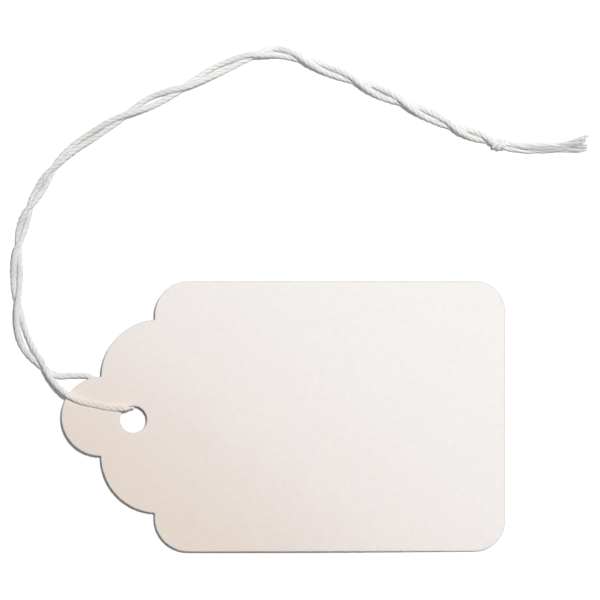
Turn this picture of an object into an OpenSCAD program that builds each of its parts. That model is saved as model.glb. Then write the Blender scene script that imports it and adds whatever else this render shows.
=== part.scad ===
// Clothing hang tag: a scalloped card lying on a table, with a knotted cotton string through its hole.
// Units are millimetres. Z is up and the table is at zero. X runs from the hole end to the far edge.
// One leg of the string passes under the neck, so the card is tipped about its far bottom edge.

/* [Card] */
// Length from the tip of the neck to the far edge
card_length = 73; // [60:0.5:100]
// Width across the card
card_width = 44.5; // [40:0.5:70]
// Thickness of the card stock
card_thickness = 0.35; // [0.2:0.05:0.8]
// Radius of the round tip of the neck
neck_radius = 6.5; // [5:0.1:8]
// Radius of the scallop on each side of the neck
scallop_radius = 9.4; // [7:0.1:11]
// Step from the middle of a scallop back to the shoulder edge
shoulder_step = 0.6; // [0:0.1:2]
// Radius of the two corners on the shoulder edge
shoulder_corner = 5.6; // [2:0.1:9]
// Radius of the two corners on the far edge
far_corner = 5; // [2:0.1:9]

/* [Hole] */
// Diameter of the punched hole
hole_diameter = 4.4; // [3.5:0.1:6]
// Distance of the hole from the tip of the neck
hole_setback = 11.8; // [9:0.1:14]
// Sideways drift of the punch off the middle of the card
hole_drift = -0.5; // [-1:0.1:1]

/* [String] */
// Diameter of one strand of the string
string_diameter = 0.9; // [0.6:0.05:1.1]
// Gap between the string and the card
seat_gap = 0.2; // [0.1:0.05:0.4]
// Gap between the two strands where they touch
strand_gap = 0.15; // [0.1:0.05:0.3]
// Gap in the string at the bend where it lifts
bend_gap = 0.2; // [0.1:0.05:0.4]

/* [Knot] */
// Length of the knot along the string
knot_length = 3; // [2.4:0.1:4]
// Diameter of the knot's core
knot_core = 1.3; // [1:0.1:1.8]
// Distance between the two turns of the knot
turn_pitch = 0.9; // [0.8:0.1:1.2]
// Slant of each turn across the knot
turn_slant = 18; // [0:1:30]
// Width of the eye inside each turn of the knot
turn_bore = 0.1; // [0.05:0.05:0.4]

/* [Hidden] */
// Sides of a swept tube, and segments of a full round
tube_sides = 8;
$fn = 64;

// Derived sizes of the card and its tilt
half_length = card_length / 2;
half_width = card_width / 2;
tip_x = -half_length;
neck_x = tip_x + neck_radius;
scallop_x = neck_x + scallop_radius;
shoulder_x = scallop_x - shoulder_step;
far_x = half_length - far_corner;
hole_x = tip_x + hole_setback;
hole_radius = hole_diameter / 2;
string_radius = string_diameter / 2;
card_tilt = asin((string_diameter + seat_gap) / (card_length - hole_setback));

// Half the distance between the middles of two strands that touch
pair_half = (string_diameter + strand_gap) / 2;

// Course of the twisted pair, as x and y from the hole, quarter turns of twist, and extra half opening
pair_route = [
    [-14.3, 8.1, 1, 0],
    [-17.7, 12.5, 2, 0.2],
    [-19.0, 19.0, 3, 0],
    [-19.2, 23.4, 4, 0],
    [-18.9, 28.6, 5, 0],
    [-18.2, 31.8, 6, 0],
    [-17.0, 35.0, 7, 0],
    [-15.2, 38.2, 8, 0],
    [-13.1, 41.4, 9, 0],
    [-10.2, 44.4, 9.5, 0],
    [-6.8, 46.7, 10, 0],
    [-1.3, 50.1, 11, 0],
    [3.6, 52.6, 12, 0.2],
    [8.2, 54.6, 13, 0],
    [14.4, 57.8, 14, 0.1],
    [20.0, 60.0, 15, 0],
    [23.9, 60.5, 16, 0],
    [27.9, 59.3, 17, 0],
    [32.4, 57.4, 18, 0],
    [36.8, 55.7, 19, 0],
    [40.7, 53.8, 20, 0.1],
    [44.6, 52.1, 21, 0],
    [48.6, 50.1, 22, 0],
    [52.7, 48.2, 23, 0],
    [55.8, 46.9, 24, 0],
    [58.6, 46.0, 25, 0],
    [59.8, 45.6, 25.6, 0]
];

// Course of the two loose tails beyond the knot, in the same terms
tail_route = [
    [60.8, 45.3, 26.2, -0.2],
    [63.0, 44.8, 26.6, 0],
    [66.3, 44.7, 26.6, 0],
    [69.5, 44.8, 26.5, 0],
    [72.3, 45.0, 26.2, 0],
    [74.6, 45.4, 26, 0.1]
];

// Course of the leg over the card, as x and y from the hole and the share of the way down to the pair
front_leg = [
    [-14.3, 8.1, 1],
    [-13.2, 6.4, 0.7],
    [-12.1, 5.2, 0.3],
    [-10.8, 4.1, 0],
    [-8.7, 3.0, 0],
    [-6.2, 2.4, 0],
    [-3.8, 1.9, 0]
];

// Course of the leg under the card, as x and y from the hole
back_leg = [
    [-4.0, 4.0],
    [-5.8, 6.2],
    [-7.4, 7.1],
    [-10.0, 7.2],
    [-12.6, 7.2],
    [-14.3, 8.1]
];

// Direction from the hole to the place where the string goes round its rim
rim_angle = 145;
rim_steps = 4;

// Radius of a turn of the knot, to the middle of its string
turn_radius = string_radius + turn_bore / 2;

// Height of the middle of the knot, whose widest part lies on the table
knot_height = max(knot_core / 2, turn_radius + string_radius);

// Middle of the knot from the hole, and the way it points
knot_place = [60.3, 45.4];
knot_heading = -15;

// Height of the card's underside above the table
function card_rise(x) = (half_length - x) * tan(card_tilt);

// Height of the middle of a strand that lies on the card
function over_card(x) = card_rise(x) + card_thickness / cos(card_tilt) + seat_gap + string_radius;

// Height of the upper strand where it crosses the lower one
crossing_height = string_radius + 2 * pair_half;

// A flat place measured from the hole, at a height above the table
function from_hole(x, y, z) = [hole_x + x, hole_drift + y, z];

function unit(v) = v / norm(v);

// Direction of a course at one of its points
function heading(path, i) =
    unit(path[min(i + 1, len(path) - 1)] - path[max(i - 1, 0)]);

// A point halfway between two neighbours on a smooth course through all of them
function halfway(rows, i) =
    let (before = rows[max(i - 1, 0)], after = rows[min(i + 2, len(rows) - 1)])
    (9 * (rows[i] + rows[i + 1]) - before - after) / 16;

// The rows of a course with one smooth row added between each two
function smoothed(rows) = [
    for (i = [0 : len(rows) - 1], step = [0, 1])
        if (step == 0) rows[i]
        else if (i < len(rows) - 1) halfway(rows, i)
];

// The path of one strand of a twisted pair: the lower strand lies on the table and the upper one humps over it
function strand_path(rows, side) = [
    for (i = [0 : len(rows) - 1])
        let (
            along = heading([for (r = rows) [r[0], r[1], 0]], i),
            twist = 90 * rows[i][2],
            aside = side * (pair_half + rows[i][3]) * cos(twist),
            lift = pair_half * (abs(sin(twist)) + side * sin(twist))
        )
        from_hole(rows[i][0] - aside * along[1], rows[i][1] + aside * along[0], string_radius + lift)
];

// The path of the string from the pair, over the card, round the rim of the hole and back under the card
eye_path = concat(
    [for (p = front_leg) let (top = over_card(hole_x + p[0]))
        from_hole(p[0], p[1], top + p[2] * (crossing_height - top))],
    [for (i = [0 : rim_steps]) let (turn = 180 * i / rim_steps) rim_point(turn)],
    [for (p = back_leg) from_hole(p[0], p[1], string_radius)]
);

// A point on the half turn round the rim, from above the card to below it
function rim_point(turn) =
    let (
        bend = card_thickness / 2 + seat_gap + string_radius,
        reach = hole_radius - bend * sin(turn),
        x = hole_radius * cos(rim_angle),
        middle = card_rise(hole_x + x) + card_thickness / 2
    )
    from_hole(reach * cos(rim_angle), reach * sin(rim_angle), middle + bend * cos(turn));

// A path whose two ends are drawn back along it
function drawn_back(path, near, far) =
    let (n = len(path) - 1)
    concat(
        [path[0] + near * unit(path[1] - path[0])],
        [for (i = [1 : n - 1]) path[i]],
        [path[n] - far * unit(path[n] - path[n - 1])]
    );

// A direction square to each point's heading, carried along the path so that the tube doesn't twist
function squared(side, along) = unit(side - (side * along) * along);
function path_sides(path) = [
    for (
        i = 0, side = squared(cross([0, 0, 1], heading(path, 0)), heading(path, 0));
        i < len(path);
        i = i + 1, side = squared(side, heading(path, min(i, len(path) - 1)))
    )
        side
];

// A closed round tube along a path, with one radius for each of its points
module tube(path, radii) {
    sides = path_sides(path);
    n = tube_sides;
    points = [
        for (i = [0 : len(path) - 1], k = [0 : n - 1])
            let (up = cross(heading(path, i), sides[i]), turn = 360 * (k + 0.5) / n)
            path[i] + radii[i] * (cos(turn) * sides[i] + sin(turn) * up)
    ];
    walls = [
        for (i = [0 : len(path) - 2], k = [0 : n - 1], half = [0, 1])
            let (a = i * n + k, b = i * n + (k + 1) % n)
            half == 0 ? [a, a + n, b + n] : [a, b + n, b]
    ];
    start = [[for (k = [0 : n - 1]) k]];
    end = [[for (k = [n - 1 : -1 : 0]) (len(path) - 1) * n + k]];
    polyhedron(points = points, faces = concat(walls, start, end), convexity = 10);
}

// A tube of one radius that narrows at its first or last point
module string_tube(path, first = 1, final = 1) {
    n = len(path) - 1;
    tube(path, [for (i = [0 : n]) string_radius * (i == 0 ? first : i == n ? final : 1)]);
}

// The two round corners of an edge, whose middles lie at x
module corners(x, radius) {
    for (side = [-1, 1])
        translate([x, side * (half_width - radius)]) circle(radius);
}

// A strip along the middle of the card
module strip(from_x, to_x, width) {
    translate([from_x, -width / 2]) square([to_x - from_x, width]);
}

module card_outline() {
    translate([neck_x, 0]) circle(neck_radius);
    strip(neck_x, scallop_x, 2 * neck_radius);
    for (side = [-1, 1])
        translate([scallop_x, side * neck_radius]) circle(scallop_radius);
    corners(shoulder_x + shoulder_corner, shoulder_corner);
    corners(far_x, far_corner);
    strip(shoulder_x, far_x, card_width - 2 * shoulder_corner);
    strip(shoulder_x + shoulder_corner, far_x, card_width);
    strip(shoulder_x + shoulder_corner, half_length, card_width - 2 * far_corner);
}

module tag_card() {
    color("#efeae2")
        translate([half_length, 0, 0])
            rotate([0, card_tilt, 0])
                translate([-half_length, 0, 0])
                    linear_extrude(card_thickness)
                        difference() {
                            card_outline();
                            translate([hole_x, hole_drift]) circle(hole_radius);
                        }
}

module string_eye() {
    color("#f4f3f0") string_tube(drawn_back(eye_path, bend_gap / 2, bend_gap / 2));
}

module front_strand() {
    color("#f4f3f0")
        string_tube(drawn_back(strand_path(smoothed(pair_route), 1), bend_gap / 2, 0), final = 0.7);
}

module back_strand() {
    color("#e9e8e4")
        string_tube(drawn_back(strand_path(smoothed(pair_route), -1), bend_gap / 2, 0), final = 0.7);
}

// One turn of string round the core of the knot
module knot_turn(place) {
    translate([place, 0, 0])
        rotate([0, 0, turn_slant])
            rotate([0, 90, 0])
                rotate_extrude() translate([turn_radius, 0]) circle(string_radius);
}

module knot() {
    reach = (knot_length - knot_core) / 2;
    color("#f0efec")
        translate(from_hole(knot_place[0], knot_place[1], knot_height))
            rotate([0, 0, knot_heading])
                union() {
                    rotate([0, 90, 0]) cylinder(r = knot_core / 2, h = 2 * reach, center = true);
                    for (end = [-1, 1]) translate([end * reach, 0, 0]) sphere(knot_core / 2);
                    for (side = [-1, 1]) knot_turn(side * turn_pitch / 2);
                }
}

module front_tail() {
    color("#f4f3f0") string_tube(strand_path(smoothed(tail_route), 1), first = 0.7, final = 1.1);
}

module back_tail() {
    color("#e9e8e4") string_tube(strand_path(smoothed(tail_route), -1), first = 0.7, final = 1.1);
}

tag_card();
string_eye();
front_strand();
back_strand();
knot();
front_tail();
back_tail();
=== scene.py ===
import math

import bmesh
import bpy
import numpy as np
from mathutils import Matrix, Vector, geometry


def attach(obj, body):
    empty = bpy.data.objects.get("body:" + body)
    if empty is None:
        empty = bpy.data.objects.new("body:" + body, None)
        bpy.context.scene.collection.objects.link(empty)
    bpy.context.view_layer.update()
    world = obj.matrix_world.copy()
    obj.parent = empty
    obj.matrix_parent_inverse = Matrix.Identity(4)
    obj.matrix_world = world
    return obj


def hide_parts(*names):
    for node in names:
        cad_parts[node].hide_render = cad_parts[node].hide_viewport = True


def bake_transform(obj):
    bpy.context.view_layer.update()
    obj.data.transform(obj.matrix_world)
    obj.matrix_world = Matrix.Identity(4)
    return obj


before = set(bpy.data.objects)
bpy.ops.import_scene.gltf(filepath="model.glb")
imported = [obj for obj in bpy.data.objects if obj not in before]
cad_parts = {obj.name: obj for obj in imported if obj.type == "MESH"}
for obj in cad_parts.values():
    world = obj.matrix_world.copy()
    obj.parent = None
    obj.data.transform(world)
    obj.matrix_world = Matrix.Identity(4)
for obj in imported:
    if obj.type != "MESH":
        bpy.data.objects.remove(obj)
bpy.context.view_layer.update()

# The looks of a clothing hang tag: a scalloped paper card on a table, with a cotton string through its hole.
# Lengths are metres in the frame of the part. Z is up and the table is at zero. X runs from the hole to the
# far edge of the card.

MM = 0.001
SEED = 7

# Sizes of the card, the hole and the string, as in the part's source
CARD_LENGTH = 73 * MM
CARD_WIDTH = 44.5 * MM
CARD_THICKNESS = 0.35 * MM
NECK_RADIUS = 6.5 * MM
SCALLOP_RADIUS = 9.4 * MM
SHOULDER_STEP = 0.6 * MM
SHOULDER_CORNER = 5.6 * MM
FAR_CORNER = 5 * MM
HOLE_RADIUS = 2.2 * MM
HOLE_SETBACK = 11.8 * MM
HOLE_DRIFT = -0.5 * MM
STRING_DIAMETER = 0.9 * MM
STRAND_GAP = 0.15 * MM
SEAT_GAP = 0.2 * MM

# Sizes that follow from them
HALF_LENGTH = CARD_LENGTH / 2
HALF_WIDTH = CARD_WIDTH / 2
PAIR_HALF = (STRING_DIAMETER + STRAND_GAP) / 2
HOLE = np.array([HOLE_SETBACK - HALF_LENGTH, HOLE_DRIFT, 0.0])
CARD_TILT = math.asin((STRING_DIAMETER + SEAT_GAP) / (CARD_LENGTH - HOLE_SETBACK))

# The lay of the cotton: three plies round each other, each a little uneven in thickness
PLIES = 3
PLY_RADIUS = 0.32 * MM
PLY_OFFSET = 0.18 * MM
PLY_LAY = 3.4 * MM
PLY_SIDES = 8
PLY_SWELL = 0.06
SLOW_WAVE = 5.3 * MM
QUICK_WAVE = 1.9 * MM
SLOW_SHARE = 0.6

# Heights of the middle of a strand on the table, and of the upper one where two strands cross
COTTON_RADIUS = PLY_RADIUS + PLY_OFFSET
CROSSING_HEIGHT = COTTON_RADIUS + 2 * PAIR_HALF

# The two strands, as opposite sides of the twisted pair
FRONT = 1
BACK = -1

# How long the strands of the pair lie side by side before they cross: less than one is longer
SIDE_BY_SIDE = 0.65

# Course of the twisted pair, as x and y from the hole, quarter turns of twist, and extra half opening
PAIR_ROUTE = (
    (-0.0143, 0.0081, 1, 0),
    (-0.0177, 0.0125, 2, 0.0002),
    (-0.0190, 0.0190, 3, 0),
    (-0.0192, 0.0234, 4, 0),
    (-0.0189, 0.0286, 5, 0),
    (-0.0182, 0.0318, 6, 0),
    (-0.0170, 0.0350, 7, 0),
    (-0.0152, 0.0382, 8, 0),
    (-0.0131, 0.0414, 9, 0),
    (-0.0102, 0.0444, 9.5, 0),
    (-0.0068, 0.0467, 10, 0),
    (-0.0013, 0.0501, 11, 0),
    (0.0036, 0.0526, 12, 0.0002),
    (0.0082, 0.0546, 13, 0),
    (0.0144, 0.0578, 14, 0.0001),
    (0.0200, 0.0600, 15, 0),
    (0.0239, 0.0605, 16, 0),
    (0.0279, 0.0593, 17, 0),
    (0.0324, 0.0574, 18, 0),
    (0.0368, 0.0557, 19, 0),
    (0.0407, 0.0538, 20, 0.0001),
    (0.0446, 0.0521, 21, 0),
    (0.0486, 0.0501, 22, 0),
    (0.0527, 0.0482, 23, 0),
    (0.0558, 0.0469, 24, 0),
    (0.0586, 0.0460, 25, -0.0001),
    (0.0603, 0.0453, 25.8, -0.0003),
)

# Course of the two loose tails beyond the knot, in the same terms
TAIL_ROUTE = (
    (0.0608, 0.0453, 26.2, -0.0002),
    (0.0630, 0.0448, 26.6, 0),
    (0.0663, 0.0447, 26.6, 0.0001),
    (0.0695, 0.0448, 26.5, -0.0001),
    (0.0723, 0.0450, 26.2, 0),
    (0.0746, 0.0454, 26, 0.0002),
)

# Course of the leg over the card, as x and y from the hole and the share of the way down to the pair
FRONT_LEG = (
    (-0.0132, 0.0064, 0.7),
    (-0.0121, 0.0052, 0.3),
    (-0.0108, 0.0041, 0),
    (-0.0087, 0.0030, 0),
    (-0.0062, 0.0024, 0),
    (-0.0038, 0.0019, 0),
)

# Course of the leg under the card, as x and y from the hole
BACK_LEG = (
    (-0.0033, 0.0046),
    (-0.0058, 0.0062),
    (-0.0074, 0.0071),
    (-0.0100, 0.0072),
    (-0.0126, 0.0072),
)

# The bend through the hole, as angle round it in degrees, distance from its middle and share of the way up
# to the leg over the card
HOLE_BEND = (
    (138, 2.75 * MM, 1),
    (127, 2.15 * MM, 1),
    (115, 1.77 * MM, 0.9),
    (102, 1.63 * MM, 0.6),
    (99, 1.69 * MM, 0.28),
    (101, 2.02 * MM, 0.05),
    (107, 2.75 * MM, 0),
    (113, 3.5 * MM, 0),
)

# The point of that bend where the two strands meet
MEETING = 3

# How close the string lies to the paper, and how flat it is drawn against the rim of the hole
REST_GAP = 0.04 * MM
RIM_GAP = 0.06 * MM
RIM_SHARE = 0.45

# Where the leg over the card is pressed flatter, as distances from the hole, and by how much
PRESS_START = (2.2 * MM, 3.6 * MM)
PRESS_END = (8 * MM, 11 * MM)
PRESS_SHARE = 0.55

# Distances between points along the pair's route and along the string
ROUTE_STEP = 0.5 * MM
STRING_STEP = 0.14 * MM

# The knot: an overhand knot in both strands, pulled tight, so that their slanted turn makes a small bulge
KNOT_PLACE = HOLE + np.array([0.06025, 0.04525, 0.00101])
KNOT_HEADING = math.radians(-15)
KNOT_RADIUS = 0.56 * MM
KNOT_HALF = 1.5 * MM
KNOT_TAPER = 0.25
KNOT_STRAND_SHARE = 0.9
KNOT_POINTS = 90

# Each strand in the knot, as the angle at its middle in degrees and its turns, with their pitch and slant
KNOT_STRANDS = ((90, 1.3), (-90, 1.7))
KNOT_PITCH = 1.45 * MM
KNOT_SLANT = 0.36 * MM

# The ends of these strands: the share that is tucked in, how far back it goes, how thin it gets and how far
# off the middle it stays
KNOT_TUCK = 0.2
KNOT_TUCK_BACK = 0.5
KNOT_END_SHARE = 0.35
KNOT_END_REACH = 0.25

# The tails: their slower twist, where their plies start to part, how these thin and spread, and how flat
# they lie
TAIL_LAY = 9 * MM
TAIL_OPENS = 0.4
TAIL_SHARE = 0.79
TAIL_THINNING = 0.62
TAIL_THINNING_CURVE = 1.5
TAIL_SPREAD = 1.15
TAIL_WIDENING = 0.69
TAIL_FLATNESS = 0.9

# A fibre: its points, how thick it is along its length, and how close it may come to the table
HAIR_STEPS = 9
HAIR_TAPER = ((0, 0.3), (0.2, 1), (1, 0.5))
TABLE_CLEARANCE = 0.04 * MM

# Fibres that stand off the strands, between the card and the knot, with their lean in degrees
FUZZ_COUNT = 420
FUZZ_RADIUS = 0.011 * MM
FUZZ_SIDES = 3
FUZZ_POINTS = 5
FUZZ_LENGTH = (0.5 * MM, 1.5 * MM)
FUZZ_LEAN = (12, 50)
FUZZ_CURL = 0.25
FUZZ_ROOT = 0.75
FUZZ_START = 13 * MM
FUZZ_END = 1.4 * MM

# Fibres that come loose along each tail, as shares of its length and as distances from its middle
FRAY_COUNT = 120
FRAY_RADIUS = (0.026 * MM, 0.05 * MM)
FRAY_SIDES = 5
FRAY_POINTS = 9
FRAY_START = (0.02, 0.7)
FRAY_RISE = 0.2
FRAY_OPENS = 0.6
FRAY_SHORT = 0.2
FRAY_SLANT = 0.028
FRAY_SPREAD = 0.7 * MM
FRAY_STRAY = 0.75 * MM
FRAY_OFF = (0.09 * MM, 0.43 * MM)
FRAY_LIFT = (-0.3 * MM, 0.35 * MM)

# The brush at the end of each ply of a tail: its distance from the next, half width, rounding and reach
BRUSH_STEP = 0.5 * MM
BRUSH_HALF = 0.24 * MM
BRUSH_ROUND = 0.06
BRUSH_END = (-0.05, 0.03)

# Spacing of the card's points, and how far the inner ones stay off its edges
OUTLINE_STEP = 0.35 * MM
HOLE_STEP = 0.18 * MM
FACE_STEP = 1.5 * MM
FACE_CLEAR = 0.7 * FACE_STEP

# How the card's face is made into triangles: inside its outlines only, with points this close as one, in
# millimetres
INSIDE_ONLY = 1
SAME_POINT = 1e-6

# How close the points of the card's faces and edges are when they are joined
WELD = 0.0001 * MM

# A slight bow along the card and crown across it, from a place behind the hole to the far edge
CARD_BOW = 0.28 * MM
CARD_CROWN = 0.1 * MM
BOW_START = -0.5 * HALF_LENGTH

# The profile of the card's edge, as inset and share of the thickness, and the rows of it that are still paper
EDGE_PROFILE = (
    (0.32 * MM, 1),
    (0.18 * MM, 0.985),
    (0.09 * MM, 0.94),
    (0.035 * MM, 0.86),
    (0.008 * MM, 0.74),
    (0, 0.6),
    (0, 0.35),
    (0, 0.1),
    (0.02 * MM, 0.02),
    (0.05 * MM, 0),
    (0.14 * MM, 0),
)
PAPER_ROWS = (0, 9)

# The card's material slots
PAPER_SLOT = 0
CUT_SLOT = 1

# Colours of the paper, by distance towards its creamy corner, and the way there. The paper darkens and warms
# that way: partly its own cream tone, partly painted shade where the light falls off
PAPER_TONES_AND_SHADE = (
    (-30 * MM, (0.917, 0.88, 0.853)),
    (-8 * MM, (0.891, 0.85, 0.825)),
    (6 * MM, (0.864, 0.797, 0.77)),
    (24 * MM, (0.808, 0.711, 0.634)),
)
TONE_AND_SHADE_WAY = (-0.63, -0.77, 0)

# How far these tones wander, and how much darker the grain of the pulp is
TONE_UNEVEN = 5 * MM
PULP_SHADE = 0.955

# The two tones of the cut edge, and how much quicker they change in height than along it
PAPER_EDGE = (0.78, 0.752, 0.712)
PAPER_CUT = (0.69, 0.66, 0.62)
CUT_STRETCH = (1, 1, 9)

# Colours of the cotton and of its loose fibres, each with how dark the painted shade in its grooves is
COTTON_LIGHT = (0.97, 0.952, 0.934)
COTTON_SHADE = (0.945, 0.925, 0.906)
COTTON_GROOVE_SHADE = 0.86
# A lighter copy of the cotton's colours for the loose fibres: painted light for what thin fibres let through
LOOSE_BRIGHTENED_LIGHT = (0.985, 0.972, 0.955)
LOOSE_BRIGHTENED_SHADE = (0.97, 0.955, 0.937)
LOOSE_GROOVE_SHADE = 0.96

# Painted shade on the cotton that lies on top of the card near the hole: a darker, creamier colour like the
# paper's there, within a distance of a place over the hole. Heights count more, so that only the cotton on
# top of the card gets it
COTTON_ON_CARD_SHADE = (0.865, 0.795, 0.73)
ON_CARD_SHADE_PLACE = HOLE + np.array([0, 0, 1.85 * MM])
ON_CARD_SHADE_SCALE = (1, 1, 6)
ON_CARD_SHADE_FROM = 12.5 * MM
ON_CARD_SHADE_TO = 9.5 * MM

# Painted shade on the cotton towards the hole end, where the light falls off: how much darker it gets, and
# where along the card that starts and is complete
COTTON_END_SHADE = 0.87
END_SHADE_FROM = -2 * MM
END_SHADE_TO = -38 * MM

# How much of the light goes into the cotton, and how far it spreads there
SCATTER_SHARE = 0.4
SCATTER_REACH = 0.3 * MM

# The grain of the cotton, with its slant in radians
FIBRE_STRETCH = (16, 1.1, 1)
FIBRE_SLANT = 0.35

# The span that most values of a noise texture keep to
NOISE_SPAN = (0.3, 0.7)

# The view of the photo: straight down, from a long way off, with the lens and sensor in millimetres
VIEW_CENTRE = (2.7 * MM, 19.13 * MM)
VIEW_WIDTH = 98.7 * MM
VIEW_PLANE = 1 * MM
LENS = 200
SENSOR = 36

# The lamp: one soft disk up on the right, and the point that it shines at
LAMP_PLACE = (0.1995, 0.2494, 0.9477)
LAMP_SIZE = 0.11
LAMP_POWER = 9.3
LIT_POINT = (0, 0.01, 0)

# The sky: its levels at the horizon and overhead, and how soon the one falls to the other
SKY_HORIZON = 0.75
SKY_TOP = 0.02
SKY_STEEPNESS = 3

# The table: its colour as seen and as it throws light back, and its glow, low round the tag and full far off
TABLE_SIZE = 8.0
TABLE_DROP = 0.02 * MM
TABLE_COLOUR = (0.98, 0.98, 0.98)
TABLE_BOUNCE = (0.84, 0.84, 0.84)
GLOW_NEAR = 0.06
GLOW_NEAR_END = 25 * MM
GLOW_FAR_START = 300 * MM


def make_camera():
    data = bpy.data.cameras.new("camera")
    data.sensor_width = SENSOR
    data.lens = LENS
    camera = bpy.data.objects.new("camera", data)
    camera.location = (*VIEW_CENTRE, VIEW_PLANE + VIEW_WIDTH * LENS / SENSOR)
    bpy.context.scene.collection.objects.link(camera)
    bpy.context.scene.camera = camera


def unit(vectors):
    return vectors / np.linalg.norm(vectors, axis=-1, keepdims=True)


def distances(path):
    """The distance along a path to each of its points."""
    return np.concatenate([[0.0], np.cumsum(np.linalg.norm(np.diff(path, axis=0), axis=1))])


def smooth_course(rows, step, measured=3):
    """Rows about step apart on a smooth course through the given ones, along their first measured columns."""
    rows = np.array(rows, float)
    along = distances(rows[:, :measured])
    gaps = np.diff(along)
    slopes = np.gradient(rows, along, axis=0)
    at = np.linspace(0, along[-1], round(along[-1] / step) + 1)
    i = np.clip(np.searchsorted(along, at, side="right") - 1, 0, len(gaps) - 1)
    gap = gaps[i][:, None]
    t = (at - along[i])[:, None] / gap
    start = (1 + 2 * t) * (1 - t) ** 2 * rows[i] + t * (1 - t) ** 2 * gap * slopes[i]
    end = t * t * (3 - 2 * t) * rows[i + 1] - t * t * (1 - t) * gap * slopes[i + 1]
    return start + end


def eased(points, reach):
    """The points, each moved to the mean of itself and reach neighbours on each side, with the ends kept."""
    padded = np.concatenate([np.repeat(points[:1], reach, 0), points, np.repeat(points[-1:], reach, 0)])
    share = np.full(2 * reach + 1, 1 / (2 * reach + 1))
    mean = np.stack([np.convolve(padded[:, k], share, mode="valid") for k in range(3)], axis=1)
    mean[0] = points[0]
    mean[-1] = points[-1]
    return mean


def strand_course(route, side):
    """The middle line of one strand of the twisted pair, on the table or in a hump over the other strand."""
    rows = smooth_course(route, ROUTE_STEP, measured=2)
    ahead = unit(np.gradient(rows[:, :2], axis=0))
    twist = np.radians(90 * rows[:, 2])
    across = np.sign(np.cos(twist)) * np.abs(np.cos(twist)) ** SIDE_BY_SIDE
    aside = side * (PAIR_HALF + rows[:, 3]) * across
    lift = PAIR_HALF * (np.abs(np.sin(twist)) + side * np.sin(twist))
    x = rows[:, 0] - aside * ahead[:, 1]
    y = rows[:, 1] + aside * ahead[:, 0]
    return HOLE + eased(np.stack([x, y, COTTON_RADIUS + lift], axis=1), reach=1)


def card_rise(x):
    """The height of the card's underside above the table."""
    return (HALF_LENGTH - x) * math.tan(CARD_TILT)


def leg_height(x):
    """The height of the middle of a strand that lies on the card."""
    return card_rise(x) + CARD_THICKNESS + REST_GAP + COTTON_RADIUS


def front_leg_point(x, y, down):
    """A point of the leg over the card, which comes down to the crossing of the pair."""
    top = leg_height(HOLE[0] + x)
    return HOLE + np.array([x, y, top + down * (CROSSING_HEIGHT - top)])


def hole_bend_point(angle, reach, up):
    """A point of the bend through the hole, between the table and the top of the card."""
    x = reach * math.cos(math.radians(angle))
    y = reach * math.sin(math.radians(angle))
    top = leg_height(HOLE[0] + x)
    return HOLE + np.array([x, y, COTTON_RADIUS + up * (top - COTTON_RADIUS)])


def string_courses():
    """The middle lines of the front and back strands, each from the bend in the hole to the knot."""
    front_leg = [front_leg_point(*row) for row in FRONT_LEG]
    bend = [hole_bend_point(*row) for row in HOLE_BEND]
    back_leg = [HOLE + np.array([x, y, COTTON_RADIUS]) for x, y in BACK_LEG]
    front = strand_course(PAIR_ROUTE, FRONT)[::-1]
    back = strand_course(PAIR_ROUTE, BACK)
    whole = smooth_course(np.concatenate([front, front_leg, bend, back_leg, back]), STRING_STEP)
    split = int(np.argmin(np.linalg.norm(whole - bend[MEETING], axis=1)))
    return whole[: split + 1][::-1], whole[split:]


def carried_sides(path, first):
    """The heading of a path at each point and a direction square to it, carried along without a twist."""
    heading = unit(np.gradient(path, axis=0))
    sides = np.empty_like(path)
    side = np.array(first, float)
    for i, ahead in enumerate(heading):
        side = unit(side - (side @ ahead) * ahead)
        sides[i] = side
    return heading, sides


def level_side(path):
    """A level direction square to the start of a path."""
    ahead = path[1] - path[0]
    return unit(np.array([-ahead[1], ahead[0], 0.0]))


def tube(path, radii, sides, first):
    """Points, faces and fibre coordinates of a closed round tube along a path."""
    heading, side = carried_sides(path, first)
    up = np.cross(heading, side)
    turn = 2 * math.pi * np.arange(sides) / sides
    round_it = np.cos(turn)[None, :, None] * side[:, None] + np.sin(turn)[None, :, None] * up[:, None]
    points = path[:, None] + np.asarray(radii)[:, None, None] * round_it
    along = distances(path) / MM
    faces = []
    fibres = []
    for i in range(len(path) - 1):
        for k in range(sides):
            after = (k + 1) % sides
            faces.append((i * sides + k, i * sides + after, (i + 1) * sides + after, (i + 1) * sides + k))
            near, far = k / sides, (k + 1) / sides
            fibres.append(((near, along[i]), (far, along[i]), (far, along[i + 1]), (near, along[i + 1])))
    last = (len(path) - 1) * sides
    faces.append(tuple(range(sides - 1, -1, -1)))
    faces.append(tuple(range(last, last + sides)))
    fibres.append(tuple((k / sides, along[0]) for k in range(sides - 1, -1, -1)))
    fibres.append(tuple((k / sides, along[-1]) for k in range(sides)))
    return points.reshape(-1, 3), faces, fibres


def piece_of_tubes(name, tubes, material):
    """One mesh object made of several closed tubes."""
    points, faces, fibres = [], [], []
    for tube_points, tube_faces, tube_fibres in tubes:
        base = len(points)
        points.extend(tube_points)
        faces.extend(tuple(base + v for v in face) for face in tube_faces)
        fibres.extend(tube_fibres)
    mesh = bpy.data.meshes.new(name)
    mesh.from_pydata([tuple(p) for p in points], [], faces)
    mesh.shade_smooth()
    layer = mesh.uv_layers.new(name="fibres")
    layer.data.foreach_set("uv", [number for face in fibres for corner in face for number in corner])
    mesh.materials.append(material)
    piece = bpy.data.objects.new(name, mesh)
    bpy.context.scene.collection.objects.link(piece)
    return piece


def swell(along, phase):
    """How much thicker or thinner a loosely spun ply is along its length."""
    slow = np.sin(2 * math.pi * along / SLOW_WAVE + phase)
    quick = np.sin(2 * math.pi * along / QUICK_WAVE + 2 * phase)
    return 1 + PLY_SWELL * (SLOW_SHARE * slow + (1 - SLOW_SHARE) * quick)


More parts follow.
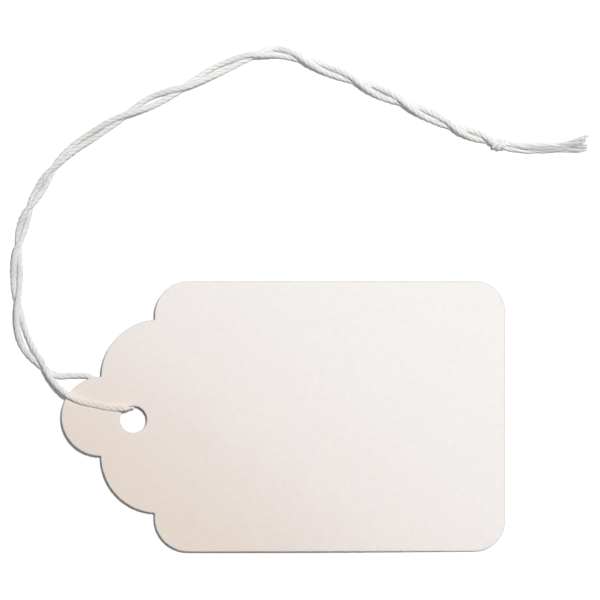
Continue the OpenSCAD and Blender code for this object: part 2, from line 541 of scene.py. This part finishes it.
def ply_tubes(path, first, turned=1, shares=None, spread=None, lay=PLY_LAY):
    """The plies of one strand, from a first direction and counted one way round or the other.

    Shares scale their thickness along the strand, and spread scales their distance from its middle.
    """
    heading, side = carried_sides(path, first)
    up = np.cross(heading, side)
    along = distances(path)
    shares = np.ones(len(path)) if shares is None else shares
    spread = shares if spread is None else spread
    tubes = []
    for k in range(PLIES):
        angle = turned * 2 * math.pi * k / PLIES + 2 * math.pi * along / lay
        out = np.cos(angle)[:, None] * side + np.sin(angle)[:, None] * up
        middle = path + PLY_OFFSET * spread[:, None] * out
        radii = PLY_RADIUS * shares * swell(along, k + PLIES * turned)
        tubes.append(tube(middle, radii, PLY_SIDES, out[0]))
    return tubes


def noise_node(nodes, links, place, scale, detail):
    noise = nodes.new("ShaderNodeTexNoise")
    noise.inputs["Scale"].default_value = scale
    noise.inputs["Detail"].default_value = detail
    links.new(place, noise.inputs["Vector"])
    return noise.outputs["Fac"]


def range_node(nodes, links, noise, low, high):
    """A noise value, spread out to run from low to high."""
    mapped = nodes.new("ShaderNodeMapRange")
    mapped.inputs["From Min"].default_value = NOISE_SPAN[0]
    mapped.inputs["From Max"].default_value = NOISE_SPAN[1]
    mapped.inputs["To Min"].default_value = low
    mapped.inputs["To Max"].default_value = high
    links.new(noise, mapped.inputs["Value"])
    return mapped.outputs["Result"]


def mix_node(nodes, links, share, first, second):
    """Two colours mixed by a share. Each is a colour or another node's output."""
    mix = nodes.new("ShaderNodeMix")
    mix.data_type = "RGBA"
    links.new(share, mix.inputs["Factor"])
    for socket, colour in ((mix.inputs["A"], first), (mix.inputs["B"], second)):
        if isinstance(colour, tuple):
            socket.default_value = (*colour, 1)
        else:
            links.new(colour, socket)
    return mix.outputs["Result"]


def bump_node(nodes, links, height, strength, depth, under=None):
    bump = nodes.new("ShaderNodeBump")
    bump.inputs["Strength"].default_value = strength
    bump.inputs["Distance"].default_value = depth
    links.new(height, bump.inputs["Height"])
    if under is not None:
        links.new(under, bump.inputs["Normal"])
    return bump.outputs["Normal"]


def new_material(name):
    material = bpy.data.materials.new(name)
    material.use_nodes = True
    tree = material.node_tree
    return material, tree.nodes, tree.links, tree.nodes["Principled BSDF"]


def shaded_by(nodes, links, share, colour, shade):
    """The colour, down to a part of itself where the share is one."""
    dark = nodes.new("ShaderNodeVectorMath")
    dark.operation = "SCALE"
    dark.inputs["Scale"].default_value = shade
    links.new(colour, dark.inputs[0])
    return mix_node(nodes, links, share, colour, dark.outputs["Vector"])


def on_card_shading(nodes, links, place):
    """How much painted shade the cotton gets, which it gets only on top of the card near the hole."""
    off = nodes.new("ShaderNodeVectorMath")
    off.operation = "SUBTRACT"
    off.inputs[1].default_value = tuple(ON_CARD_SHADE_PLACE)
    links.new(place, off.inputs[0])
    scaled = nodes.new("ShaderNodeVectorMath")
    scaled.operation = "MULTIPLY"
    scaled.inputs[1].default_value = ON_CARD_SHADE_SCALE
    links.new(off.outputs["Vector"], scaled.inputs[0])
    length = nodes.new("ShaderNodeVectorMath")
    length.operation = "LENGTH"
    links.new(scaled.outputs["Vector"], length.inputs[0])
    share = nodes.new("ShaderNodeMapRange")
    share.interpolation_type = "SMOOTHSTEP"
    share.inputs["From Min"].default_value = ON_CARD_SHADE_FROM
    share.inputs["From Max"].default_value = ON_CARD_SHADE_TO
    links.new(length.outputs["Value"], share.inputs["Value"])
    return share.outputs["Result"]


def end_shading(nodes, links, place):
    """How much painted shade the cotton gets, which it gets only towards the hole end."""
    parts = nodes.new("ShaderNodeSeparateXYZ")
    links.new(place, parts.inputs["Vector"])
    share = nodes.new("ShaderNodeMapRange")
    share.interpolation_type = "SMOOTHSTEP"
    share.inputs["From Min"].default_value = END_SHADE_FROM
    share.inputs["From Max"].default_value = END_SHADE_TO
    links.new(parts.outputs["X"], share.inputs["Value"])
    return share.outputs["Result"]


def cotton_fibres(nodes, links, place):
    """Fine fibres, which run along each ply at a slight slant."""
    stretch = nodes.new("ShaderNodeMapping")
    stretch.inputs["Scale"].default_value = FIBRE_STRETCH
    stretch.inputs["Rotation"].default_value = (0, 0, FIBRE_SLANT)
    links.new(place, stretch.inputs["Vector"])
    return noise_node(nodes, links, stretch.outputs["Vector"], scale=1, detail=5)


def cotton_material(name, light, shade, groove_shade):
    """Bleached cotton: fine uneven fibres along each ply, matte with a soft sheen, and some light inside."""
    material, nodes, links, shader = new_material(name)
    place = nodes.new("ShaderNodeTexCoord")
    fibre = cotton_fibres(nodes, links, place.outputs["UV"])
    cloud = noise_node(nodes, links, place.outputs["Object"], scale=900, detail=3)
    uneven = mix_node(nodes, links, range_node(nodes, links, cloud, low=0, high=1), light, shade)
    # Painted shade on the cotton, darker towards the hole end
    end_shade_share = end_shading(nodes, links, place.outputs["Object"])
    end_shaded = shaded_by(nodes, links, end_shade_share, uneven, COTTON_END_SHADE)
    # Painted shade on the cotton where it lies on top of the card near the hole
    on_card_share = on_card_shading(nodes, links, place.outputs["Object"])
    on_card_shaded = mix_node(nodes, links, on_card_share, end_shaded, COTTON_ON_CARD_SHADE)
    # Painted shade in the grooves: darker where the fibre noise is low
    colour = shaded_by(nodes, links, range_node(nodes, links, fibre, low=0.5, high=0), on_card_shaded, groove_shade)
    links.new(colour, shader.inputs["Base Color"])
    links.new(range_node(nodes, links, fibre, low=0.95, high=0.8), shader.inputs["Roughness"])
    links.new(bump_node(nodes, links, fibre, strength=0.8, depth=0.06 * MM), shader.inputs["Normal"])
    shader.inputs["Subsurface Weight"].default_value = SCATTER_SHARE
    shader.inputs["Subsurface Radius"].default_value = (1, 1, 1)
    shader.inputs["Subsurface Scale"].default_value = SCATTER_REACH
    shader.inputs["Sheen Weight"].default_value = 0.25
    shader.inputs["Sheen Roughness"].default_value = 0.5
    shader.inputs["Specular IOR Level"].default_value = 0.2
    return material


def paper_tone_and_shade(nodes, links, place, cloud):
    """The paper's colour, darker and creamier towards one corner: its own tone and painted shade."""
    across = nodes.new("ShaderNodeVectorMath")
    across.operation = "DOT_PRODUCT"
    across.inputs[1].default_value = TONE_AND_SHADE_WAY
    links.new(place, across.inputs[0])
    uneven = nodes.new("ShaderNodeMath")
    uneven.operation = "MULTIPLY_ADD"
    uneven.inputs[1].default_value = TONE_UNEVEN
    links.new(cloud, uneven.inputs[0])
    links.new(across.outputs["Value"], uneven.inputs[2])
    first, last = PAPER_TONES_AND_SHADE[0][0], PAPER_TONES_AND_SHADE[-1][0]
    share = nodes.new("ShaderNodeMapRange")
    share.inputs["From Min"].default_value = first + TONE_UNEVEN / 2
    share.inputs["From Max"].default_value = last + TONE_UNEVEN / 2
    links.new(uneven.outputs[0], share.inputs["Value"])
    ramp = nodes.new("ShaderNodeValToRGB")
    ramp.color_ramp.interpolation = "CARDINAL"
    stops = ramp.color_ramp.elements
    for along, _ in PAPER_TONES_AND_SHADE[1:-1]:
        stops.new((along - first) / (last - first))
    for stop, (_, colour) in zip(stops, PAPER_TONES_AND_SHADE):
        stop.color = (*colour, 1)
    links.new(share.outputs["Result"], ramp.inputs["Fac"])
    return ramp.outputs["Color"]


def paper_material():
    """Uncoated tag stock: cloudy pulp, fine fibres and a matte surface."""
    material, nodes, links, shader = new_material("tag_stock")
    place = nodes.new("ShaderNodeTexCoord").outputs["Object"]
    cloud = noise_node(nodes, links, place, scale=160, detail=4)
    grain = noise_node(nodes, links, place, scale=1300, detail=6)
    fibre = noise_node(nodes, links, place, scale=4200, detail=4)
    # The tone darkens towards one corner: partly the paper's cream, partly painted shade
    tone_and_shade = paper_tone_and_shade(nodes, links, place, cloud)
    colour = shaded_by(nodes, links, range_node(nodes, links, grain, low=0, high=0.8), tone_and_shade, PULP_SHADE)
    links.new(colour, shader.inputs["Base Color"])
    links.new(range_node(nodes, links, fibre, low=0.76, high=0.92), shader.inputs["Roughness"])
    coarse = bump_node(nodes, links, grain, strength=0.12, depth=0.03 * MM)
    fine = bump_node(nodes, links, fibre, strength=0.25, depth=0.012 * MM, under=coarse)
    links.new(fine, shader.inputs["Normal"])
    shader.inputs["Specular IOR Level"].default_value = 0.3
    return material


def cut_edge_material():
    """The die-cut edge of the stock, where the layers of pulp show."""
    material, nodes, links, shader = new_material("cut_edge")
    layers = nodes.new("ShaderNodeMapping")
    layers.inputs["Scale"].default_value = CUT_STRETCH
    links.new(nodes.new("ShaderNodeTexCoord").outputs["Object"], layers.inputs["Vector"])
    pulp = noise_node(nodes, links, layers.outputs["Vector"], scale=2400, detail=5)
    colour = mix_node(nodes, links, range_node(nodes, links, pulp, low=0, high=1), PAPER_EDGE, PAPER_CUT)
    links.new(colour, shader.inputs["Base Color"])
    links.new(range_node(nodes, links, pulp, low=0.82, high=0.97), shader.inputs["Roughness"])
    links.new(bump_node(nodes, links, pulp, strength=0.6, depth=0.03 * MM), shader.inputs["Normal"])
    shader.inputs["Specular IOR Level"].default_value = 0.15
    return material


def smooth_share(value, start, end):
    """How far a value is from start to end, eased at both."""
    share = np.clip((value - start) / (end - start), 0, 1)
    return share * share * (3 - 2 * share)


def pressed(points):
    """The points of a strand, lower where it lies on the card."""
    off = np.linalg.norm(points[:, :2] - HOLE[:2], axis=1)
    over = smooth_share(off, *PRESS_START) * (1 - smooth_share(off, *PRESS_END))
    top = card_rise(points[:, 0]) + CARD_THICKNESS
    over = np.where(points[:, 2] > top, over, 0)
    lower = points.copy()
    lower[:, 2] -= PRESS_SHARE * over * (points[:, 2] - top)
    return lower


def drawn_to_rim(points):
    """The points of a strand, closer to the rim of the hole where they are inside it."""
    off = points[:, :2] - HOLE[:2]
    reach = np.linalg.norm(off, axis=1)
    rim = HOLE_RADIUS - RIM_GAP
    closer = np.where(reach < rim, rim - RIM_SHARE * (rim - reach), reach)
    drawn = points.copy()
    drawn[:, :2] = HOLE[:2] + off * (closer / reach)[:, None]
    return drawn


def make_strand(name, path, turned, material):
    """One strand from the hole to the knot."""
    rim_side = (path[0] - HOLE) * (1, 1, 0)
    plies = ply_tubes(path, rim_side, turned)
    tubes = [(drawn_to_rim(pressed(points)), faces, fibres) for points, faces, fibres in plies]
    strand = piece_of_tubes(name, tubes, material)
    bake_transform(strand)
    return strand


def knot_strand(middle, turns):
    """One strand of the knot as places and thickness: slanted turns, with thin ends tucked in under them."""
    share = np.linspace(-0.5, 0.5, KNOT_POINTS)
    angle = math.radians(middle) + 2 * math.pi * turns * share
    tuck = smooth_share(0.5 - np.abs(share), 0, KNOT_TUCK)
    x = KNOT_PITCH * turns * share * (1 - KNOT_TUCK_BACK * (1 - tuck))
    barrel = 1 - KNOT_TAPER * (x / KNOT_HALF) ** 2
    radius = KNOT_RADIUS * barrel * (KNOT_END_REACH + (1 - KNOT_END_REACH) * tuck)
    x = x + KNOT_SLANT * tuck * np.cos(angle)
    y = radius * np.cos(angle)
    z = radius * np.sin(angle)
    along = np.array([math.cos(KNOT_HEADING), math.sin(KNOT_HEADING), 0])
    aside = np.array([-along[1], along[0], 0])
    up = np.array([0, 0, 1])
    path = KNOT_PLACE + x[:, None] * along + y[:, None] * aside + z[:, None] * up
    thickness = KNOT_STRAND_SHARE * (KNOT_END_SHARE + (1 - KNOT_END_SHARE) * tuck)
    return np.column_stack([path, thickness])


def make_knot(material):
    """The turns of both strands in the knot."""
    tubes = []
    for middle, turns in KNOT_STRANDS:
        rows = smooth_course(knot_strand(middle, turns), STRING_STEP)
        path = rows[:, :3]
        tubes += ply_tubes(path, level_side(path), math.copysign(1, middle), rows[:, 3])
    knot = piece_of_tubes("knot_turns", tubes, material)
    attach(knot, "string")
    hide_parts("knot")
    return knot


def make_tail(name, node, side, material):
    """One loose tail, whose plies come apart and thin towards its frayed end."""
    path = smooth_course(strand_course(TAIL_ROUTE, side), STRING_STEP)
    opening = np.clip((np.linspace(0, 1, len(path)) - TAIL_OPENS) / (1 - TAIL_OPENS), 0, 1)
    shares = TAIL_SHARE - TAIL_THINNING * opening ** TAIL_THINNING_CURVE
    spread = TAIL_SPREAD + TAIL_WIDENING * opening
    plies = ply_tubes(path, level_side(path), side, shares, spread, TAIL_LAY)
    tubes = [(points * (1, 1, TAIL_FLATNESS), faces, fibres) for points, faces, fibres in plies]
    tail = piece_of_tubes(name, tubes, material)
    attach(tail, "string")
    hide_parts(node)
    return tail


def on_table(path):
    """The path, with no point of it below the table."""
    lifted = path.copy()
    lifted[:, 2] = np.maximum(lifted[:, 2], TABLE_CLEARANCE)
    return lifted


def hair(path, radius, sides):
    """A fine fibre along a few points, thin at both ends."""
    smooth = on_table(smooth_course(path, np.linalg.norm(path[-1] - path[0]) / HAIR_STEPS))
    radii = radius * np.interp(np.linspace(0, 1, len(smooth)), *zip(*HAIR_TAPER))
    return tube(smooth, radii, sides, level_side(smooth))


def make_fuzz(name, path, material, random):
    """Short loose fibres that stand off a strand of cotton."""
    along = distances(path)
    free = path[(along > FUZZ_START) & (along < along[-1] - FUZZ_END)]
    heading, side = carried_sides(free, level_side(free))
    up = np.cross(heading, side)
    share = np.linspace(0, 1, FUZZ_POINTS)[:, None]
    hairs = []
    for _ in range(FUZZ_COUNT):
        i = random.integers(len(free))
        turn = random.uniform(0, 2 * math.pi)
        lean = math.radians(random.uniform(*FUZZ_LEAN))
        out = math.cos(turn) * side[i] + math.sin(turn) * up[i]
        way = random.choice((-1, 1)) * math.cos(lean) * heading[i] + math.sin(lean) * out
        curl = random.normal(0, FUZZ_CURL, 3)
        root = free[i] + FUZZ_ROOT * COTTON_RADIUS * out
        points = root + random.uniform(*FUZZ_LENGTH) * (share * way + share ** 2 * curl)
        hairs.append(hair(points, FUZZ_RADIUS, FUZZ_SIDES))
    fuzz = piece_of_tubes(name, hairs, material)
    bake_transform(fuzz)
    return fuzz


def fray_points(tail, start, end, fan, stray, random):
    """Points of one fibre, which comes out of a tail, may cross its side, and fans out at its end."""
    path, heading, level = tail
    last = len(path) - 1
    turn = random.uniform(0, 2 * math.pi)
    off = random.uniform(*FRAY_OFF)
    lift = random.uniform(*FRAY_LIFT)
    points = []
    for share in np.linspace(start, end, FRAY_POINTS):
        i = min(round(share * last), last)
        beyond = max(share - 1, 0) * last * ROUTE_STEP * heading[i]
        opened = smooth_share(share, FRAY_OPENS, 1)
        inner = off * smooth_share(share, start - FRAY_RISE, start + FRAY_RISE) * (1 - opened / 2)
        crossed = stray * math.sin(math.pi * (share - start) / (end - start))
        aside = inner * math.cos(turn + share) + crossed + opened * fan
        height = inner * math.sin(turn + share) + opened * lift
        points.append(path[i] + beyond + aside * level[i] + np.array([0, 0, height]))
    return np.array(points) * (1, 1, TAIL_FLATNESS)


def make_fray(name, side, material, random):
    """The fibres that come loose along a tail and end in a brush for each of its plies."""
    path = strand_course(TAIL_ROUTE, side)
    tail = (path, *carried_sides(path, level_side(path)))
    brush_ends = random.uniform(*BRUSH_END, PLIES)
    hairs = []
    for _ in range(FRAY_COUNT):
        brush = random.integers(PLIES)
        off_brush = random.uniform(-1, 1)
        fan = (brush - (PLIES - 1) / 2) * BRUSH_STEP + off_brush * BRUSH_HALF
        short = FRAY_SHORT * random.uniform(0, 1) ** 2 + BRUSH_ROUND * off_brush ** 2
        end = 1 + brush_ends[brush] - short + FRAY_SLANT * (fan / FRAY_SPREAD - side)
        stray = random.uniform(0, 1) ** 2 * side * FRAY_STRAY
        points = fray_points(tail, random.uniform(*FRAY_START), end, fan, stray, random)
        hairs.append(hair(points, random.uniform(*FRAY_RADIUS), FRAY_SIDES))
    fray = piece_of_tubes(name, hairs, material)
    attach(fray, "string")
    return fray


def make_string():
    """The string: its two strands with their fuzz, the knot, and the two tails with their loose fibres."""
    random = np.random.default_rng(SEED)
    cotton = cotton_material("cotton", COTTON_LIGHT, COTTON_SHADE, COTTON_GROOVE_SHADE)
    # A lighter copy of the cotton: painted light for the light that thin loose fibres let through
    loose = cotton_material("lit_loose_cotton", LOOSE_BRIGHTENED_LIGHT, LOOSE_BRIGHTENED_SHADE, LOOSE_GROOVE_SHADE)
    front_path, back_path = string_courses()
    front = make_strand("front_strand_plies", front_path, FRONT, cotton)
    back = make_strand("back_strand_plies", back_path, BACK, cotton)
    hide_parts("front_strand", "string_eye")
    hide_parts("back_strand", "string_eye")
    knot = make_knot(cotton)
    front_pieces = [
        knot,
        make_tail("front_tail_plies", "front_tail", FRONT, cotton),
        make_fray("front_tail_fray", FRONT, loose, random),
        make_fuzz("front_strand_fuzz", front_path, loose, random),
    ]
    back_pieces = [
        knot,
        make_tail("back_tail_plies", "back_tail", BACK, cotton),
        make_fray("back_tail_fray", BACK, loose, random),
        make_fuzz("back_strand_fuzz", back_path, loose, random),
    ]


def arc(centre, radius, start, end):
    """Points on an arc from one angle to another in degrees, with the last one left out."""
    count = max(2, round(abs(math.radians(end - start)) * radius / OUTLINE_STEP))
    angles = np.radians(start + (end - start) * np.arange(count) / count)
    return np.array(centre) + radius * np.stack([np.cos(angles), np.sin(angles)], axis=1)


def line(start, end):
    """Points on a straight line, with the last one left out."""
    start, end = np.array(start), np.array(end)
    count = max(1, round(np.linalg.norm(end - start) / OUTLINE_STEP))
    return start + np.arange(count)[:, None] / count * (end - start)


def card_outline():
    """The outline of the card, anticlockwise from the middle of its far edge."""
    neck_x = NECK_RADIUS - HALF_LENGTH
    scallop = (neck_x + SCALLOP_RADIUS, NECK_RADIUS)
    shoulder_x = scallop[0] - SHOULDER_STEP
    shoulder = (shoulder_x + SHOULDER_CORNER, HALF_WIDTH - SHOULDER_CORNER)
    far = (HALF_LENGTH - FAR_CORNER, HALF_WIDTH - FAR_CORNER)
    meeting = 90 + math.degrees(math.asin(SHOULDER_STEP / SCALLOP_RADIUS))
    meeting_y = NECK_RADIUS + SCALLOP_RADIUS * math.sin(math.radians(meeting))
    upper = np.concatenate([
        line((HALF_LENGTH, 0), (HALF_LENGTH, far[1])),
        arc(far, FAR_CORNER, 0, 90),
        line((far[0], HALF_WIDTH), (shoulder[0], HALF_WIDTH)),
        arc(shoulder, SHOULDER_CORNER, 90, 180),
        line((shoulder_x, shoulder[1]), (shoulder_x, meeting_y)),
        arc(scallop, SCALLOP_RADIUS, meeting, 180),
        arc((neck_x, 0), NECK_RADIUS, 90, 180),
        [(-HALF_LENGTH, 0)],
    ])
    lower = upper[1:-1][::-1] * (1, -1)
    return np.concatenate([upper, lower])


def hole_outline():
    """The rim of the hole, clockwise."""
    count = round(2 * math.pi * HOLE_RADIUS / HOLE_STEP)
    turn = -2 * math.pi * np.arange(count) / count
    return HOLE[:2] + HOLE_RADIUS * np.stack([np.cos(turn), np.sin(turn)], axis=1)


def edge_rings(outline):
    """The outline drawn in by each inset of the edge profile."""
    ahead = unit(np.roll(outline, -1, axis=0) - np.roll(outline, 1, axis=0))
    outward = np.stack([ahead[:, 1], -ahead[:, 0]], axis=1)
    return [outline - inset * outward for inset, _ in EDGE_PROFILE]


def inside(outline, places):
    """Which of the places lie inside a closed outline: those with an odd number of edges on their right."""
    found = np.zeros(len(places), bool)
    for a, b in zip(outline, np.roll(outline, -1, axis=0)):
        if a[1] == b[1]:
            continue
        spans = (a[1] > places[:, 1]) != (b[1] > places[:, 1])
        crossing = a[0] + (places[:, 1] - a[1]) / (b[1] - a[1]) * (b[0] - a[0])
        found ^= spans & (places[:, 0] < crossing)
    return found


def face_grid(outline):
    """Points of a square grid that lie well inside the outline and clear of the hole."""
    x = np.arange(-HALF_LENGTH, HALF_LENGTH, FACE_STEP)
    y = np.arange(-HALF_WIDTH, HALF_WIDTH, FACE_STEP)
    grid = np.stack(np.meshgrid(x, y), axis=-1).reshape(-1, 2)
    off_edge = np.linalg.norm(grid[:, None] - outline[None], axis=2).min(axis=1)
    off_hole = np.linalg.norm(grid - HOLE[:2], axis=1) - HOLE_RADIUS
    return grid[inside(outline, grid) & (off_edge > FACE_CLEAR) & (off_hole > FACE_CLEAR)]


def face_triangles(outer, inner, grid):
    """Triangles of the card's face, as places in the joined list of outer ring, inner ring and grid."""
    flat = np.concatenate([outer, inner, grid])
    loops = [(i, (i + 1) % len(outer)) for i in range(len(outer))]
    loops += [(len(outer) + i, len(outer) + (i + 1) % len(inner)) for i in range(len(inner))]
    places = [Vector(p) for p in flat / MM]
    _, _, faces, origins, _, _ = geometry.delaunay_2d_cdt(places, loops, [], INSIDE_ONLY, SAME_POINT)
    on_hole = range(len(outer), len(outer) + len(inner))
    triangles = [[origins[v][0] for v in face] for face in faces]
    return [corners for corners in triangles if not all(v in on_hole for v in corners)]


def on_card(flat, height):
    """Places of flat card points in the frame: on the bowed card, which is tipped about its far edge."""
    x, y = flat[:, 0], flat[:, 1]
    body = np.clip((x - BOW_START) / (HALF_LENGTH - BOW_START), 0, 1)
    crown = CARD_CROWN * np.cos(0.5 * math.pi * y / HALF_WIDTH)
    z = height + (CARD_BOW + crown) * np.sin(math.pi * body)
    back = x - HALF_LENGTH
    return np.stack([
        HALF_LENGTH + back * math.cos(CARD_TILT) + z * math.sin(CARD_TILT),
        y,
        z * math.cos(CARD_TILT) - back * math.sin(CARD_TILT),
    ], axis=1)


def card_faces(outline, hole):
    """The front and back of the card, each as points, faces and the material of each face."""
    outer, inner, grid = edge_rings(outline), edge_rings(hole), face_grid(outline)
    triangles = face_triangles(outer[0], inner[0], grid)
    paper = [PAPER_SLOT] * len(triangles)
    front = on_card(np.concatenate([outer[0], inner[0], grid]), CARD_THICKNESS)
    back = on_card(np.concatenate([outer[-1], inner[-1], grid]), 0)
    return (front, triangles, paper), (back, [corners[::-1] for corners in triangles], paper)


def card_edge(outline):
    """The edge along an outline, from front to back, as points, faces and the material of each face."""
    count = len(outline)
    points, faces, slots = [], [], []
    for row, (ring, (_, share)) in enumerate(zip(edge_rings(outline), EDGE_PROFILE)):
        points.extend(on_card(ring, share * CARD_THICKNESS))
        if row == len(EDGE_PROFILE) - 1:
            break
        for i in range(count):
            high, after = row * count + i, row * count + (i + 1) % count
            faces.append((high, high + count, after + count, after))
        slots += [PAPER_SLOT if row in PAPER_ROWS else CUT_SLOT] * count
    return points, faces, slots


def card_mesh(parts):
    """One closed mesh of the parts of the card, joined where their points meet."""
    points, faces, slots = [], [], []
    for part_points, part_faces, part_slots in parts:
        faces.extend([len(points) + v for v in face] for face in part_faces)
        points.extend(tuple(p) for p in part_points)
        slots.extend(part_slots)
    mesh = bpy.data.meshes.new("card_stock")
    mesh.from_pydata(points, [], faces)
    mesh.polygons.foreach_set("material_index", slots)
    work = bmesh.new()
    work.from_mesh(mesh)
    bmesh.ops.remove_doubles(work, verts=work.verts, dist=WELD)
    work.to_mesh(mesh)
    work.free()
    mesh.shade_smooth()
    return mesh


def make_card():
    """The paper card with its cut edge."""
    outline, hole = card_outline(), hole_outline()
    mesh = card_mesh([*card_faces(outline, hole), card_edge(outline), card_edge(hole)])
    mesh.materials.append(paper_material())
    mesh.materials.append(cut_edge_material())
    card = bpy.data.objects.new("card_stock", mesh)
    bpy.context.scene.collection.objects.link(card)
    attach(card, "card")
    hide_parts("tag_card")


def seen_rays(nodes, links):
    """One for rays that show the surface, shiny or clear pieces included, and zero for its light."""
    path = nodes.new("ShaderNodeLightPath")
    seen = path.outputs["Is Camera Ray"]
    for kind in ("Is Glossy Ray", "Is Transmission Ray"):
        either = nodes.new("ShaderNodeMath")
        either.operation = "MAXIMUM"
        links.new(seen, either.inputs[0])
        links.new(path.outputs[kind], either.inputs[1])
        seen = either.outputs[0]
    return seen


def table_glow(nodes, links, seen):
    """How much the table glows: a little round the tag, up to plain white further off."""
    off = nodes.new("ShaderNodeVectorMath")
    off.operation = "DISTANCE"
    off.inputs[1].default_value = (*VIEW_CENTRE, -TABLE_DROP)
    links.new(nodes.new("ShaderNodeTexCoord").outputs["Object"], off.inputs[0])
    level = nodes.new("ShaderNodeMapRange")
    level.interpolation_type = "SMOOTHSTEP"
    level.inputs["From Min"].default_value = GLOW_NEAR_END
    level.inputs["From Max"].default_value = GLOW_FAR_START
    level.inputs["To Min"].default_value = GLOW_NEAR
    links.new(off.outputs["Value"], level.inputs["Value"])
    shown = nodes.new("ShaderNodeMath")
    shown.operation = "MULTIPLY"
    links.new(seen, shown.inputs[0])
    links.new(level.outputs["Result"], shown.inputs[1])
    return shown.outputs[0]


def table_material():
    """A plain white table, which throws back only part of the light that it gets."""
    material, nodes, links, shader = new_material("table")
    shader.inputs["Roughness"].default_value = 0.9
    shader.inputs["Specular IOR Level"].default_value = 0.0
    shader.inputs["Emission Color"].default_value = (1, 1, 1, 1)
    seen = seen_rays(nodes, links)
    links.new(mix_node(nodes, links, seen, TABLE_BOUNCE, TABLE_COLOUR), shader.inputs["Base Color"])
    links.new(table_glow(nodes, links, seen), shader.inputs["Emission Strength"])
    return material


def make_table():
    half = TABLE_SIZE / 2
    mesh = bpy.data.meshes.new("table")
    corners = [(-half, -half), (half, -half), (half, half), (-half, half)]
    mesh.from_pydata([(x, y, -TABLE_DROP) for x, y in corners], [], [(0, 1, 2, 3)])
    mesh.materials.append(table_material())
    table = bpy.data.objects.new("table", mesh)
    bpy.context.scene.collection.objects.link(table)


def make_lamp():
    data = bpy.data.lights.new("lamp", "AREA")
    data.shape = "DISK"
    data.size = LAMP_SIZE
    data.energy = LAMP_POWER
    lamp = bpy.data.objects.new("lamp", data)
    lamp.location = LAMP_PLACE
    lamp.rotation_euler = (Vector(LIT_POINT) - Vector(LAMP_PLACE)).to_track_quat("-Z", "Y").to_euler()
    lamp.visible_camera = False
    bpy.context.scene.collection.objects.link(lamp)


def sky_light(nodes, links):
    """The light of the sky, from its level at the horizon down to the level overhead."""
    parts = nodes.new("ShaderNodeSeparateXYZ")
    links.new(nodes.new("ShaderNodeTexCoord").outputs["Generated"], parts.inputs["Vector"])
    low = nodes.new("ShaderNodeMath")
    low.operation = "SUBTRACT"
    low.use_clamp = True
    low.inputs[0].default_value = 1
    links.new(parts.outputs["Z"], low.inputs[1])
    steep = nodes.new("ShaderNodeMath")
    steep.operation = "POWER"
    steep.inputs[1].default_value = SKY_STEEPNESS
    links.new(low.outputs[0], steep.inputs[0])
    level = nodes.new("ShaderNodeMapRange")
    level.inputs["To Min"].default_value = SKY_TOP
    level.inputs["To Max"].default_value = SKY_HORIZON
    links.new(steep.outputs[0], level.inputs["Value"])
    light = nodes.new("ShaderNodeBackground")
    light.inputs["Color"].default_value = (1, 1, 1, 1)
    links.new(level.outputs["Result"], light.inputs["Strength"])
    return light


def make_sky():
    """A soft sky for light, which is plain white to the camera."""
    world = bpy.data.worlds.new("sky")
    world.use_nodes = True
    nodes, links = world.node_tree.nodes, world.node_tree.links
    white = nodes["Background"]
    white.inputs["Color"].default_value = (1, 1, 1, 1)
    either = nodes.new("ShaderNodeMixShader")
    links.new(seen_rays(nodes, links), either.inputs["Fac"])
    links.new(sky_light(nodes, links).outputs["Background"], either.inputs[1])
    links.new(white.outputs["Background"], either.inputs[2])
    links.new(either.outputs["Shader"], nodes["World Output"].inputs["Surface"])
    bpy.context.scene.world = world


def make_studio():
    bpy.context.scene.view_settings.view_transform = "Standard"
    make_table()
    make_lamp()
    make_sky()


make_camera()
make_string()
make_card()
make_studio()
